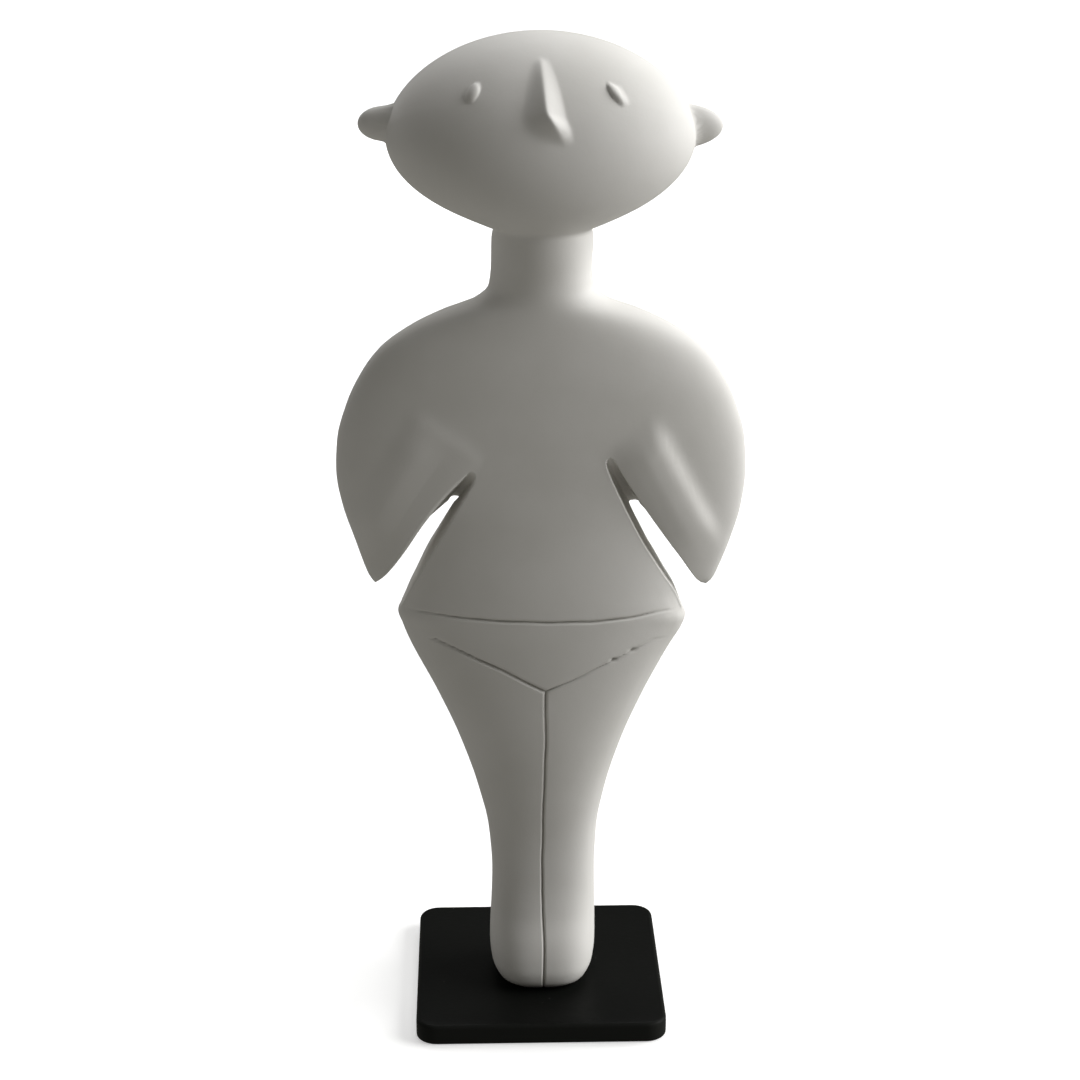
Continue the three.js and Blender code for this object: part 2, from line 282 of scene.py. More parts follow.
def flow(*stations):
    """A smooth curve through (place, value) stations.

    Each piece is a cubic whose end slopes are the harmonic mean of the straight slopes on either side, or
    level where those differ in sign, so that the curve never swings past a station.
    """
    at, value = np.array(stations, float).T
    slope = np.diff(value) / np.diff(at)
    before, after = np.r_[slope[0], slope], np.r_[slope, slope[-1]]
    agree = before * after > 0
    tangent = np.where(agree, 2 * before * after / np.where(agree, before + after, 1), 0)

    def curve(where):
        i = np.clip(np.searchsorted(at, where, side="right") - 1, 0, len(at) - 2)
        run = at[i + 1] - at[i]
        u = np.clip((where - at[i]) / run, 0, 1)
        rise = value[i] * (1 + 2 * u) * (1 - u) ** 2 + value[i + 1] * u * u * (3 - 2 * u)
        return rise + run * (tangent[i] * u * (1 - u) ** 2 - tangent[i + 1] * u * u * (1 - u))

    return curve


def ease(low, high, value):
    """0 up to low, 1 from high on, and a smooth step between."""
    u = np.clip((value - low) / (high - low), 0, 1)
    return u * u * (3 - 2 * u)


def soft_max(first, second, reach):
    """The larger of two values, rounded where they come within reach of each other."""
    near = np.clip(1 - np.abs(first - second) / reach, 0, 1)
    return np.maximum(first, second) + near * near * reach / 4


# How finely spaced() adds up its steps, and a length in millimetres that keeps a division off nothing
SPACING_SAMPLES = 4001
TINY = 1e-6


def spaced(low, high, step):
    """Places from low to high whose spacing follows a curve of step sizes: even in the sum of 1 / step."""
    fine = np.linspace(low, high, SPACING_SAMPLES)
    pace = np.r_[0, np.cumsum(np.diff(fine) / step((fine[1:] + fine[:-1]) / 2))]
    return np.interp(np.linspace(0, pace[-1], int(round(pace[-1])) + 1), pace, fine)


# Millimetres above the sole, and half widths and depths there. The lower body holds the feet, legs, hips
# and belly, the upper body the arms, shoulders and neck. lower_square is how square the lower body's rings
# are: 2 for an ellipse, and more for flatter sides.
lower_width = flow((0, 8.8), (2, 11.2), (5, 12.5), (9, 12.9), (27, 12.5), (38, 13.1), (49, 15.3), (62, 19.4),
                   (74, 24.5), (87, 30.9), (92, 33), (95.5, 34.3), (97.5, 34), (101, 33.5), (114, 33.6),
                   (133, 44))
lower_front = flow((0, 12.3), (2, 14.5), (4, 14.7), (7, 14.1), (11, 12.8), (18, 9.9), (26, 8.1), (36, 7.4),
                   (48, 8.2), (58, 9.1), (72, 10.2), (92, 11), (118, 10.2), (131, 9.8))
lower_back = flow((0, 5.4), (3, 7), (10, 7.6), (30, 6.6), (48, 7.6), (66, 8.6), (92, 10.8), (116, 8.9),
                  (131, 9.1))
lower_square = flow((0, 3.2), (8, 2.9), (20, 2.5), (50, 2.1), (70, 2))
upper_width = flow((100, 37.8), (101.8, 39.6), (105, 41.5), (113, 44.6), (121, 46.7), (129, 47.5), (137, 47),
                   (146, 44.5), (153, 41.1), (159, 36.6), (164.1, 29.6), (167.4, 22.8), (170.2, 15.1),
                   (173.3, 11.9), (178, 11.4), (184, 11.5), (195, 11.5))
upper_front = flow((100, 3), (103, 5.6), (112, 8), (124, 9.4), (136, 9.8), (150, 9.4), (165, 8.6), (174, 8.8),
                   (184, 9.8), (195, 9.8))
upper_back = flow((100, 3), (103, 5.2), (112, 7.6), (124, 8.8), (136, 9.2), (150, 9.4), (165, 8.8),
                  (174, 9.2), (184, 9.4), (195, 9.6))

# The heights from which the belly passes into the chest, in front and behind, and those between which the
# hips pass into the belly that the slits cut, with the share of the hips' width that is front and back
BELLY_FRONT = 118.0
BELLY_BACK = 104.0
HIP = (95.8, 97.6)
HIP_SHARE = 0.94

# The slits: where they start, and how far from the middle their belly and arm edges are at each height
SLIT_TOP = 133.0
SLIT_START = 16.4
left_belly_edge = flow((96.5, 33.9), (100.6, 31.6), (104.9, 29), (109.5, 26.4), (116.3, 22.6), (123, 19.2),
                       (127, 17.3), (131, 15.6), (131.9, 15.45), (132.5, 15.55), (132.87, 15.95),
                       (SLIT_TOP, SLIT_START))
right_belly_edge = flow((96.5, 33.9), (100.9, 31.5), (105, 28.6), (110, 25.6), (114, 23.3), (120.3, 20.2),
                        (127, 17.1), (131, 15.55), (131.9, 15.4), (132.5, 15.55), (132.87, 15.95),
                        (SLIT_TOP, SLIT_START))
left_arm_edge = flow((101.6, 39.4), (104.9, 36.4), (111.2, 32), (117.4, 28.1), (127.6, 21), (131, 18.4),
                     (132, 17.65), (132.6, 17.15), (132.9, 16.8), (SLIT_TOP, SLIT_START))
right_arm_edge = flow((101, 39.2), (104.4, 35.8), (110.6, 31.5), (116.8, 27.4), (127.2, 20.5), (131, 18.1),
                      (132, 17.6), (132.6, 17.15), (132.9, 16.8), (SLIT_TOP, SLIT_START))

# The rounding of the slits' edges, larger on the left arm, how far below the top it is full, and the largest
# share of a body's depth that it takes; the elbows' lowest points and how blunt they are
SLIT_ROUND = 0.32
LEFT_ARM_ROUND = 0.8
SLIT_ROUND_FULL = 3.0
SLIT_ROUND_SHARE = 0.45
ARM_TIP = 101.9
ARM_TIP_ROUND = 1.5

# The slits slant to the back. First come, for the left and the right, how far out and down their tops lie
# there and how much further their walls close up behind, below the tops. Then come the heights where the
# slant begins and ends, how wide the strip that it moves is inside and outside the slit, and how slowly it
# sets in, outwards and downwards. The walls close up this far from the slit's middle and between the next
# heights, the arm's less than the belly's, and less and less from the last height to the top.
SLANT_OUT = (3.9, 6.1)
SLANT_DOWN = (12.5, 14.0)
SLANT_MORE = (1.1, 0.2)
SLANT_FROM = 101.0
SLANT_TO = 165.0
SLANT_WIDE = (7.0, 13.0)
SLANT_SLOW = 0.08
SLANT_DOWN_POWER = 1.25
WALL_STRIP = 1.5
BELLY_WALL = (101.0, 115.0)
ARM_WALL = (116.0, 126.0)
ARM_WALL_SHARE = 0.8
WALL_END = 129.0

# The forearms: a line from hand to elbow, (distance from the middle, height), how far a band stands out
# across it, from the slit to its outer side, between which places along it the band begins, and how much
# later it does so towards the slit. The left one is a low band with a ridge on it. The fade is how softly
# they end at the elbow.
FOREARM_FADE = 6.0
left_forearm = {"hand": (24.7, 142.9), "elbow": (42.6, 113.9), "begin": (-1.8, 1.8), "later": 0.0,
                "across": flow((-13.5, 0), (-10.5, 0.24), (-8, 0.3), (2, 0.3), (6, 0))}
left_ridge = {"hand": (24.7, 142.9), "elbow": (42.6, 113.9), "begin": (0.0, 10.0), "later": 0.0,
              "across": flow((-5.5, 0), (-3, 0.24), (0, 0.5), (2.5, 0.3), (5, 0))}
right_forearm = {"hand": (26.8, 141.6), "elbow": (40.8, 115.1), "begin": (-4.0, 5.0), "later": 0.25,
                 "across": flow((-15.6, 0), (-12.9, 0.5), (-9, 1.24), (-5.4, 1.6), (-3.4, 1.55), (-1.6, 1.32),
                                (0, 0.6), (1.4, 0.1), (2.8, 0))}

# The incised lines, as corners of (x, height), with the half width and depth of their groove, the power that
# softens its lips, how far a line wavers and how many radians its sines turn per millimetre of x and of
# height, sideways and upwards, the distances from the middle between which belt and V grow shallow, how much
# of the half width that takes, and how far a nick spreads
BELT = [(-30.5, 97.1), (-23, 96.5), (-13, 95.9), (0, 95.5), (11, 95.3), (20.5, 95.6), (29.3, 97.1)]
V_LINE = [(-25.2, 90.2), (-18.4, 87.4), (-8.7, 83), (0.8, 77.8), (7.9, 80.9), (16.7, 85.1), (27.2, 89.6)]
LEG_LINE = [(0.8, 77.8), (0.9, 63), (0.6, 55), (0, 41), (-0.3, 33), (-0.45, 24), (0.1, 13), (0.2, 6),
            (0.25, -1)]
NICKS = [(16.7, 85.2), (21.2, 87.2)]
GROOVE_HALF = 0.5
GROOVE_DEEP = 0.75
GROOVE_LIP = 1.4
LINE_WAVER = 0.05
WAVER_SIDEWAYS = (0.2, 0.45)
WAVER_UPWARDS = (0.6, 0.2)
BELT_SHALLOW = (18, 31)
V_SHALLOW = (14, 28)
V_RIGHT_SHALLOW = (1, 6)
BELT_FADE = 0.2
V_FADE = 0.1
NICK_SPREAD = 0.3


def band(x, z, hand, elbow, begin, later, across):
    """How far one band of a forearm stands out: its height across the line, times a rise at the hand and a
    fall past the elbow."""
    length = math.hypot(elbow[0] - hand[0], elbow[1] - hand[1])
    along_x, along_z = (elbow[0] - hand[0]) / length, (elbow[1] - hand[1]) / length
    dx, dz = np.abs(x) - hand[0], z - hand[1]
    run = dx * along_x + dz * along_z
    off = dz * along_x - dx * along_z
    fall = 1 - ease(length - FOREARM_FADE, length + FOREARM_FADE, run)
    return across(off) * ease(*begin, run + later * np.minimum(off, 0)) * fall


def forearm(x, z):
    """How far the forearms stand out, the left one's two bands for points on the left."""
    left = band(x, z, **left_forearm) + band(x, z, **left_ridge)
    return np.where(x < 0, left, band(x, z, **right_forearm))


def line_distance(x, z, corners):
    """The distance from each point to a chain of straight lines: the least over its lines of the distance to
    the nearest point of each."""
    corners = np.array(corners, float)
    start, run = corners[:-1], np.diff(corners, axis=0)
    dx, dz = x[..., None] - start[:, 0], z[..., None] - start[:, 1]
    t = np.clip((dx * run[:, 0] + dz * run[:, 1]) / (run * run).sum(1), 0, 1)
    return np.hypot(dx - t * run[:, 0], dz - t * run[:, 1]).min(axis=-1)


def incised(x, z):
    """How deep the incised lines are, as a share of their depth.

    Across, a line is a V with soft lips, and it wavers by a twentieth of a millimetre as sines of the place.
    The belt and the V grow shallow towards their outer ends, the V more so on the right, and the tool slipped
    at two nicks on the V.
    """
    x, z = np.broadcast_arrays(x, z)
    side = np.abs(x)
    waver_x = LINE_WAVER * np.sin(WAVER_SIDEWAYS[0] * x + WAVER_SIDEWAYS[1] * z)
    waver_z = LINE_WAVER * np.sin(WAVER_UPWARDS[0] * x + WAVER_UPWARDS[1] * z)
    x, z = x + waver_x, z + waver_z
    belt = line_distance(x, z, BELT) + BELT_FADE * ease(*BELT_SHALLOW, side)
    fork = line_distance(x, z, V_LINE) + V_FADE * ease(*V_SHALLOW, side) + V_FADE * ease(*V_RIGHT_SHALLOW, x)
    nicks = [np.hypot(x - at_x, z - at_z) - NICK_SPREAD for at_x, at_z in NICKS]
    near = np.minimum.reduce([belt, fork, line_distance(x, z, LEG_LINE), *nicks])
    return np.clip(1 - near / GROOVE_HALF, 0, 1) ** GROOVE_LIP


# Columns round the figure. The front of the belly lies between two columns that end at the slits' tops, and
# the same columns carry on up over the chest, neck and head. In front an even spread is mixed with one that
# crowds to the middle, where nose and leg line are, and the last columns in front and behind lie close beside
# the slits. Round an arm, the columns' angles are closer at the slit in front and at the outline, and between
# the two angles of ARM_TURN an arm's points pass from its front to its back.
FRONT_COLUMNS = 100
BACK_COLUMNS = 30
WALL_COLUMNS = 7
CORNER_COLUMNS = 3
FRONT_EVEN = 0.55
FRONT_CROWDED = 0.45
FRONT_LAST = 0.988
BACK_LAST = 0.98
ARM_TURN = (-0.35, 0.35)
slit_cos = SLIT_START / upper_width(SLIT_TOP)
slit_angle = np.arccos(slit_cos)
front_share = np.linspace(-1, 1, FRONT_COLUMNS + 1)
front_share = FRONT_EVEN * front_share + FRONT_CROWDED * front_share ** 3
front_share[[1, -2]] = -FRONT_LAST, FRONT_LAST
back_share = np.linspace(1, -1, BACK_COLUMNS + 1)
back_share[[1, -2]] = BACK_LAST, -BACK_LAST
arm_step = flow((-1.21, 0.008), (-1.17, 0.009), (-1.02, 0.009), (-0.95, 0.034), (-0.3, 0.034), (-0.1, 0.018),
                (0.1, 0.018), (0.3, 0.05), (1.21, 0.05))
arm_angle = spaced(-slit_angle, slit_angle, arm_step)
arm_share = ease(*ARM_TURN, arm_angle)
corner_turn = np.linspace(0, np.pi / 2, CORNER_COLUMNS + 1)
wall_share = np.linspace(0, 1, WALL_COLUMNS + 1)[1:-1]


def slant(x, z, back):
    """Where the points of level rings go because the slits slant: out and down by a share of a shift.

    The shift grows with the height above the slit's foot, slowly at first, up to that of the slit's top, and
    the two walls also move towards each other. The share is the points' own, 0 in front and 1 behind, times a
    fall from the top up to the shoulders, a bell across the slit, and a fall to nothing at the outline. The
    slit's middle is taken with the right arm's edge on both sides.
    """
    rise = np.clip((z - SLANT_FROM) / (SLIT_TOP - SLANT_FROM), 0, 1)
    belly = np.where(x < 0, left_belly_edge(z), right_belly_edge(z))
    off = np.abs(x) - (belly + right_arm_edge(z)) / 2
    inside = np.clip(1 - (x / upper_width(z)) ** 4, 0, 1) * (1 - ease(SLIT_TOP, SLANT_TO, z))
    share = back * inside * np.exp(-(off / np.where(off < 0, *SLANT_WIDE)) ** 2 / 2)
    belly_wall = ease(0, WALL_STRIP, -off) * ease(*BELLY_WALL, z)
    arm_wall = ease(0, WALL_STRIP, off) * ease(*ARM_WALL, z)
    more = (belly_wall - ARM_WALL_SHARE * arm_wall) * (1 - ease(WALL_END, SLIT_TOP, z))
    grown = (1 + SLANT_SLOW) * rise ** 2 / (rise + SLANT_SLOW)
    out = np.where(x < 0, *SLANT_OUT) * grown + np.where(x < 0, *SLANT_MORE) * more
    down = np.where(x < 0, *SLANT_DOWN) * rise ** SLANT_DOWN_POWER
    return x + np.sign(x) * out * share, z - down * share


def upper_depth(x, z, deep):
    """Half the upper body's thickness at x: an ellipse across its width."""
    return deep(z) * np.sqrt(np.clip(1 - (x / upper_width(z)) ** 2, 0, 1))


def slit_round(z, radius):
    """The rounding of a slit's edges at a height: the radius, dwindling to nothing at the slit's top."""
    return radius * np.clip((SLIT_TOP - z) / SLIT_ROUND_FULL, 0, 1)


def cut_side(reach, corner, front, behind, z, hand):
    """The side of a body where a slit cuts it, front to back, on the right or, with hand -1, on the left.

    It is a quarter round, a wall that slants with the slit and another quarter round. Gives x, y and z on
    grids of rows by columns; front is the depth in front, and behind gives the depth at a place on the back.
    """
    back = behind(*slant(hand * reach, z, 1.0))
    radius = np.minimum(corner, SLIT_ROUND_SHARE * np.minimum(front, back))
    bend_x = reach + corner * np.sin(corner_turn)
    wall = np.broadcast_to(reach + corner, (len(reach), len(wall_share)))
    y = np.concatenate([radius * (1 - np.cos(corner_turn)) - front,
                        (radius - front) + wall_share * (front + back - 2 * radius),
                        (back - radius * (1 - np.cos(corner_turn)))[:, ::-1]], axis=1)
    x = hand * np.concatenate([bend_x, wall, bend_x[:, ::-1]], axis=1)
    x, level = slant(x, z, np.clip((y + front) / np.maximum(front + back, TINY), 0, 1))
    return np.stack([x, y, level], axis=2)


def trunk(z):
    """Rings of the lower body, from the slits' tops down to the sole.

    Below the hips a ring is a superellipse with its own depth in front and behind. Between the slits it is a
    slice of such a ring, cut off at the belly's edge on both sides, and round the hips one passes into the
    other. The incised lines are sunk into its front.
    """
    z = z[:, None]

    def depth(x, level, start, lower, upper_one):
        mix = ease(start, SLIT_TOP, z)
        width = lower_width(level) + mix * (upper_width(level) - lower_width(level))
        deep = lower(level) + mix * (upper_one(level) - lower(level))
        n = lower_square(level)
        return deep * np.clip(1 - np.clip(np.abs(x) / width, 0, 1) ** n, 0, 1) ** (1 / n)

    def front_depth(x):
        plain = depth(x, z, BELLY_FRONT, lower_front, upper_front)
        return plain + forearm(x, z) - GROOVE_DEEP * incised(x, z)

    def back_depth(x, level):
        return depth(x, level, BELLY_BACK, lower_back, upper_back)

    corner = slit_round(z, SLIT_ROUND)
    n = lower_square(z)
    cut = ease(*HIP, z)
    tip = np.arccos(HIP_SHARE ** (n / 2)) * np.linspace(-1, 1, 2 * len(corner_turn) + len(wall_share))
    shut_x = lower_width(z) * np.abs(np.cos(tip)) ** (2 / n)
    shut_y = np.where(tip < 0, lower_front(z), lower_back(z)) * np.sign(tip) * np.abs(np.sin(tip)) ** (2 / n)
    shut_edge = HIP_SHARE * lower_width(z)
    sides = []
    edges = []
    for hand, belly in ((1, right_belly_edge), (-1, left_belly_edge)):
        reach = belly(z) - corner
        edges.append(shut_edge + cut * (reach - shut_edge))
        whole = np.stack([hand * shut_x, shut_y, z + 0 * shut_x], axis=2)
        cut_one = cut_side(reach, corner, front_depth(hand * reach), back_depth, z, hand)
        sides.append(whole + cut[:, :, None] * (cut_one - whole))
    front_x = (np.where(front_share > 0, *edges) * front_share)[:, 1:-1]
    back_x = (np.where(back_share > 0, *edges) * back_share)[:, 1:-1]
    front = np.stack([front_x, -front_depth(front_x), z + 0 * front_x], axis=2)
    back_x, level = slant(back_x, z, 1.0)
    back = np.stack([back_x, back_depth(back_x, level), level], axis=2)
    return np.concatenate([front, sides[0], back, sides[1][:, ::-1]], axis=1)


def arm(z, edge, radius, hand):
    """Rings of an arm, on the right or, with hand -1, on the left, from the slit's top down to the elbow.

    They are the outer part of the shoulders' ellipse, stretched between the arm's edge at the slit and the
    outline, with the forearm on its front, and closed by a wall at the slit and a blunt tip.
    """
    z = z[:, None]
    corner = slit_round(z, radius)
    inner, outer = edge(z), upper_width(z)
    share = (np.cos(arm_angle) - slit_cos) / (1 - slit_cos)
    x, level = slant(hand * (inner + corner + (outer - inner - corner) * share), z, arm_share)
    y = np.where(arm_angle < 0, -upper_depth(x, level, upper_front) - forearm(x, level),
                 upper_depth(x, level, upper_back))
    wall = cut_side(-inner - corner, corner, -y[:, :1], lambda x, z: upper_depth(x, z, upper_back), z, -hand)
    rings = np.concatenate([np.stack([x, y, level], axis=2)[:, 1:-1], wall[:, ::-1]], axis=1)
    blunt = np.sqrt(np.clip(1 - np.clip((ARM_TIP + ARM_TIP_ROUND - z) / ARM_TIP_ROUND, 0, 1) ** 2, 0, 1))
    spine = np.stack([hand * (inner + outer) / 2, 0 * z, z], axis=2)
    return (spine + (rings - spine) * blunt[:, :, None])[:, ::hand]


# The head, in millimetres: an egg leaning back, a little narrower at the crown and at the chin, and the
# smallest that the square of a slice's share of it gets, at the crown's point
HEAD_HEIGHT = 207.3
HEAD_BACK = 2.5
HEAD_WIDE, HEAD_DEEP, HEAD_LONG = 34.6, 17.0, 23.4
HEAD_LEAN = math.radians(35)
CROWN_TAPER = 0.065
CHIN_TAPER = 0.2
CROWN_POINT = 1e-9
lean_sin, lean_cos = math.sin(HEAD_LEAN), math.cos(HEAD_LEAN)
head_half = math.hypot(HEAD_LONG * lean_cos, HEAD_DEEP * lean_sin)
head_reach = HEAD_DEEP * HEAD_LONG / head_half
head_drift = (HEAD_LONG ** 2 - HEAD_DEEP ** 2) * lean_sin * lean_cos / head_half ** 2

# Neck and head: how round the corner between them is, the heights between which that rounding comes and goes,
# those between which the rings' middles move into the head and their plan takes the head's shape, the
# neck's upper end inside it, where the narrowing of crown and chin sets in, and where the face begins
NECK_ROUND = 0.45
ROUND_COMES = (184, 188)
ROUND_GOES = (196, 204)
MIDDLE_MOVES = (190, 198)
PLAN_TURNS = (186, 198)
NECK_END = 196
TAPER_COMES = (184, 190)
FACE_FROM = 188

# Nose, along the face: how wide its flanks are, its height and where its ridge runs, where its foot rises,
# how round its ridge and its sides' feet are, and the powers of its left and right flank
nose_left = flow((-11, 8), (-7.5, 7.2), (-4, 5.8), (2, 4.3), (8.4, 2.6), (11, 1.8))
nose_right = flow((-11, 1.6), (-9, 2.6), (-6.5, 3.7), (-4, 4.1), (2, 3.5), (8.4, 2.2), (11, 1.5))
nose_high = flow((-11, 2.7), (-7.5, 2.6), (-4, 2.4), (2, 1.6), (7, 0.9), (9, 0.6), (11, 0))
nose_middle = flow((-11, 5.3), (-8.3, 3.4), (-5.6, 1.6), (-4, 0.8), (2, 0.3), (8, -0.1), (11, -0.3))
NOSE_FOOT = (-11.2, -5.4)
NOSE_RIDGE = 0.5
NOSE_SOFT = 0.35
NOSE_FLANKS = (1.6, 1.15)

# Eyes and ears: places, sizes, tilt, and how softly they meet the head
EYE_HIGH = 0.95
EYE_SOFT = 0.12
left_eye = {"at": (-15.0, 2.3), "half": (1.45, 2.5), "tilt": math.radians(-22)}
right_eye = {"at": (16.2, 1.9), "half": (1.25, 3.1), "tilt": math.radians(38)}
EAR_BACK = 3.0
EAR_FOOT = 33.0
EAR_SOFT = 0.8
left_ear = {"height": 209.3, "long": 8.0, "tall": 4.1, "thick": 2.9, "blunt": 0.4}
right_ear = {"height": 208.5, "long": 8.0, "tall": 4.8, "thick": 3.0, "blunt": 0.6}


def soften(height, soft):
    """A relief's height with a soft foot: the root of its square plus soft squared, less soft."""
    return np.sqrt(np.clip(height, 0, None) ** 2 + soft * soft) - soft


def features(x, along):
    """How far nose and eyes stand out of the face, at x and at a place along it.

    The nose is a wedge with two flanks, each a power of how near x is to the ridge, steep on the right and
    wide and soft on the left, and it rises from its foot with a smooth step.
    """
    off = x - nose_middle(along)
    wide = np.where(off < 0, nose_left(along), nose_right(along))
    near = np.clip(1 - (np.hypot(off, NOSE_RIDGE) - NOSE_RIDGE) / wide, 0, 1)
    flank = nose_high(along) * near ** np.where(off < 0, *NOSE_FLANKS)
    nose = soften(flank * ease(*NOSE_FOOT, along), NOSE_SOFT)
    return nose + bead(x, along, **left_eye) + bead(x, along, **right_eye)


def bead(x, along, at, half, tilt):
    """An eye: a half ellipsoid whose long way leans by tilt from the face's upright."""
    dx, dz = x - at[0], along - at[1]
    wide = dx * math.cos(tilt) + dz * math.sin(tilt)
    tall = dz * math.cos(tilt) - dx * math.sin(tilt)
    dome = np.clip(1 - (wide / half[0]) ** 2 - (tall / half[1]) ** 2, 0, 1)
    return soften(EYE_HIGH * np.sqrt(dome), EYE_SOFT)


def ear(y, z, height, long, tall, thick, blunt):
    """How far out of the middle an ear reaches: its foot plus its length times a power of 1 less the squares
    of how far off the lobe's middle a point is, or 0 beside the lobe."""
    lobe = np.clip(1 - ((z - height) / tall) ** 2 - ((y - EAR_BACK) / thick) ** 2, 0, 1)
    return np.where(lobe > 0, EAR_FOOT + long * lobe ** blunt - EAR_SOFT / 2, 0)


def ray_reach(dx, dy, from_y, half_x, half_y, centre_y):
    """How many times (dx, dy) reaches from (0, from_y) to an ellipse round (0, centre_y): the larger root of
    the ellipse's equation along the ray, or 0 if the start is outside."""
    shift = (from_y - centre_y) / half_y
    a = (dx / half_x) ** 2 + (dy / half_y) ** 2
    b = shift * dy / half_y
    c = shift * shift - 1
    root = np.sqrt(np.clip(b * b - a * c, 0, None))
    return np.where(c < 0, (root - b) / a, 0)


def upper(z):
    """Rings of the chest, shoulders, neck and head, from the slits' tops up to the crown.

    A ring's points lie on rays from its middle. A ray ends on the body's ellipse or on the level slice of
    the leaning egg, whichever is further, with the corner between them rounded. Then the egg is narrowed at
    crown and chin, the ears are drawn out of its sides, and nose and eyes stand out along the face's normal.
    """
    z = z[:, None]
    front_cos = front_share * slit_cos
    back_cos = back_share * slit_cos
    arm_cos, arm_sin = np.cos(arm_angle)[1:-1], np.sin(arm_angle)[1:-1]
    cos = np.concatenate([front_cos, arm_cos, back_cos, -arm_cos[::-1]])
    sin = np.concatenate([-np.sqrt(1 - front_cos ** 2), arm_sin, np.sqrt(1 - back_cos ** 2), arm_sin[::-1]])
    back = np.concatenate([0 * front_cos, arm_share[1:-1], 0 * back_cos + 1, arm_share[-2:0:-1]])
    up = z - HEAD_HEIGHT
    slice_size = np.sqrt(np.clip(1 - (up / head_half) ** 2, CROWN_POINT, 1))
    slice_y = HEAD_BACK + head_drift * up
    middle = slice_y * ease(*MIDDLE_MOVES, z)
    deep = np.where(sin < 0, upper_front(z), upper_back(z))
    turn = ease(*PLAN_TURNS, z)
    dx = cos * (upper_width(z) / deep * (1 - turn) + HEAD_WIDE / head_reach * turn)
    body = np.where(z < NECK_END, ray_reach(dx, sin, middle, upper_width(z), deep, 0), 0)
    egg = ray_reach(dx, sin, middle, HEAD_WIDE * slice_size, head_reach * slice_size, slice_y)
    rounding = NECK_ROUND * deep * ease(*ROUND_COMES, z) * (1 - ease(*ROUND_GOES, z))
    reach = soft_max(body, egg, rounding + TINY)
    x, level = slant(dx * reach, z, back)
    body_y = np.where(sin < 0, -upper_depth(x, level, upper_front), upper_depth(x, level, upper_back))
    y = np.where(z < SLANT_TO, body_y, middle + sin * reach) - np.where(sin < 0, forearm(x, level), 0)
    along = (y - HEAD_BACK) * lean_sin + up * lean_cos
    share = np.clip(along / HEAD_LONG, -1, 1)
    narrow = 1 - np.where(share > 0, CROWN_TAPER * share, CHIN_TAPER * np.abs(share) ** 3)
    x = x * (1 + (narrow - 1) * ease(*TAPER_COMES, z))
    side = np.abs(x)
    lobe = np.where(x < 0, ear(y, z, **left_ear), ear(y, z, **right_ear))
    x = np.where(lobe > 0, np.sign(x) * soft_max(side, lobe, EAR_SOFT * 2), x)
    into = (y - HEAD_BACK) * lean_cos - up * lean_sin
    stand = features(x, along) * (into < 0) * (z > FACE_FROM)
    return np.stack([x, y - stand * lean_cos, level + stand * lean_sin], axis=2)


# Rows up the figure, closer at the sole, the incised lines and the slits' tops. From the last even row up to
# the crown they are evenly spread over the turn of the head, and a few rings close the sole.
EVEN_ROWS_TO = 200.0
CROWN_ROWS = 92
SOLE_RINGS = 7
row_step = flow((0, 0.35), (4, 0.6), (12, 0.95), (66, 0.95), (76, 0.28), (98, 0.28), (104, 1), (127, 1),
                (131, 0.34), (134, 0.34), (138, 1.2), (165, 1.1), (184, 0.65), (EVEN_ROWS_TO, 0.5))
crown_turn = np.linspace(math.asin((EVEN_ROWS_TO - HEAD_HEIGHT) / head_half), math.pi / 2, CROWN_ROWS)
crown_rows = HEAD_HEIGHT + head_half * np.sin(crown_turn)
upper_rings = upper(np.r_[spaced(SLIT_TOP, EVEN_ROWS_TO, row_step)[:-1], crown_rows])
trunk_rings = trunk(spaced(0, SLIT_TOP, row_step))
sole = trunk_rings[0].mean(axis=0)
sole_rings = sole + (trunk_rings[:1] - sole) * np.linspace(0, 1, SOLE_RINGS + 1)[:-1, None, None]
trunk_rings = np.concatenate([sole_rings, trunk_rings])
arm_rows = spaced(ARM_TIP, SLIT_TOP, row_step)
right_rings = arm(arm_rows, right_arm_edge, SLIT_ROUND, 1)
left_rings = arm(arm_rows, left_arm_edge, LEFT_ARM_ROUND, -1)

# The two sides differ as carved ones do. Bells of shift sideways and upwards: how far, the x and height they
# are about, and their size; and sideways leans of the legs and the neck: how far, at what height, and size
SHIFTS_X = [(0.3, -SLIT_START, SLIT_TOP, 6), (-0.9, SLIT_START, SLIT_TOP, 6), (1.1, -45, 113, 8),
            (0.55, -34, 97, 4), (0.6, 34, 91, 3.5), (-0.5, 35, 96.5, 2.5)]
SHIFTS_Z = [(2.1, SLIT_START, SLIT_TOP, 6), (-1, -SLIT_START, SLIT_TOP, 6), (-0.6, 39, 102, 4),
            (-0.4, -34.5, 96, 4.5), (-1.5, 34.5, 96, 5)]
LEANS = [(0.5, 26, 20), (0.35, 186, 7)]


def hand_made(points):
    """The points moved sideways and upwards by a sum of bells, each its amount times a Gaussian of how far a
    point is from the bell's middle."""
    x, y, z = points.T

    def bells(shifts):
        amount, at_x, at_z, size = np.array(shifts, float).T[:, :, None]
        return (amount * np.exp(-((x - at_x) ** 2 + (z - at_z) ** 2) / (2 * size * size))).sum(axis=0)

    amount, at_z, size = np.array(LEANS, float).T[:, :, None]
    lean = (amount * np.exp(-((z - at_z) / size) ** 2)).sum(axis=0)
    return np.stack([x + bells(SHIFTS_X) + lean, y, z + bells(SHIFTS_Z)], axis=1)


# Dirt and painted shade darken the incised lines, and painted shade darkens the foot where it meets the
# plate:
# how much there, and the heights between which it ends. Points closer than the weld, in metres, become one.
FOOT_SHADE = 0.8
FOOT_SHADE_RISE = (0.8, 4.2)
FIGURE_WELD = 2e-6

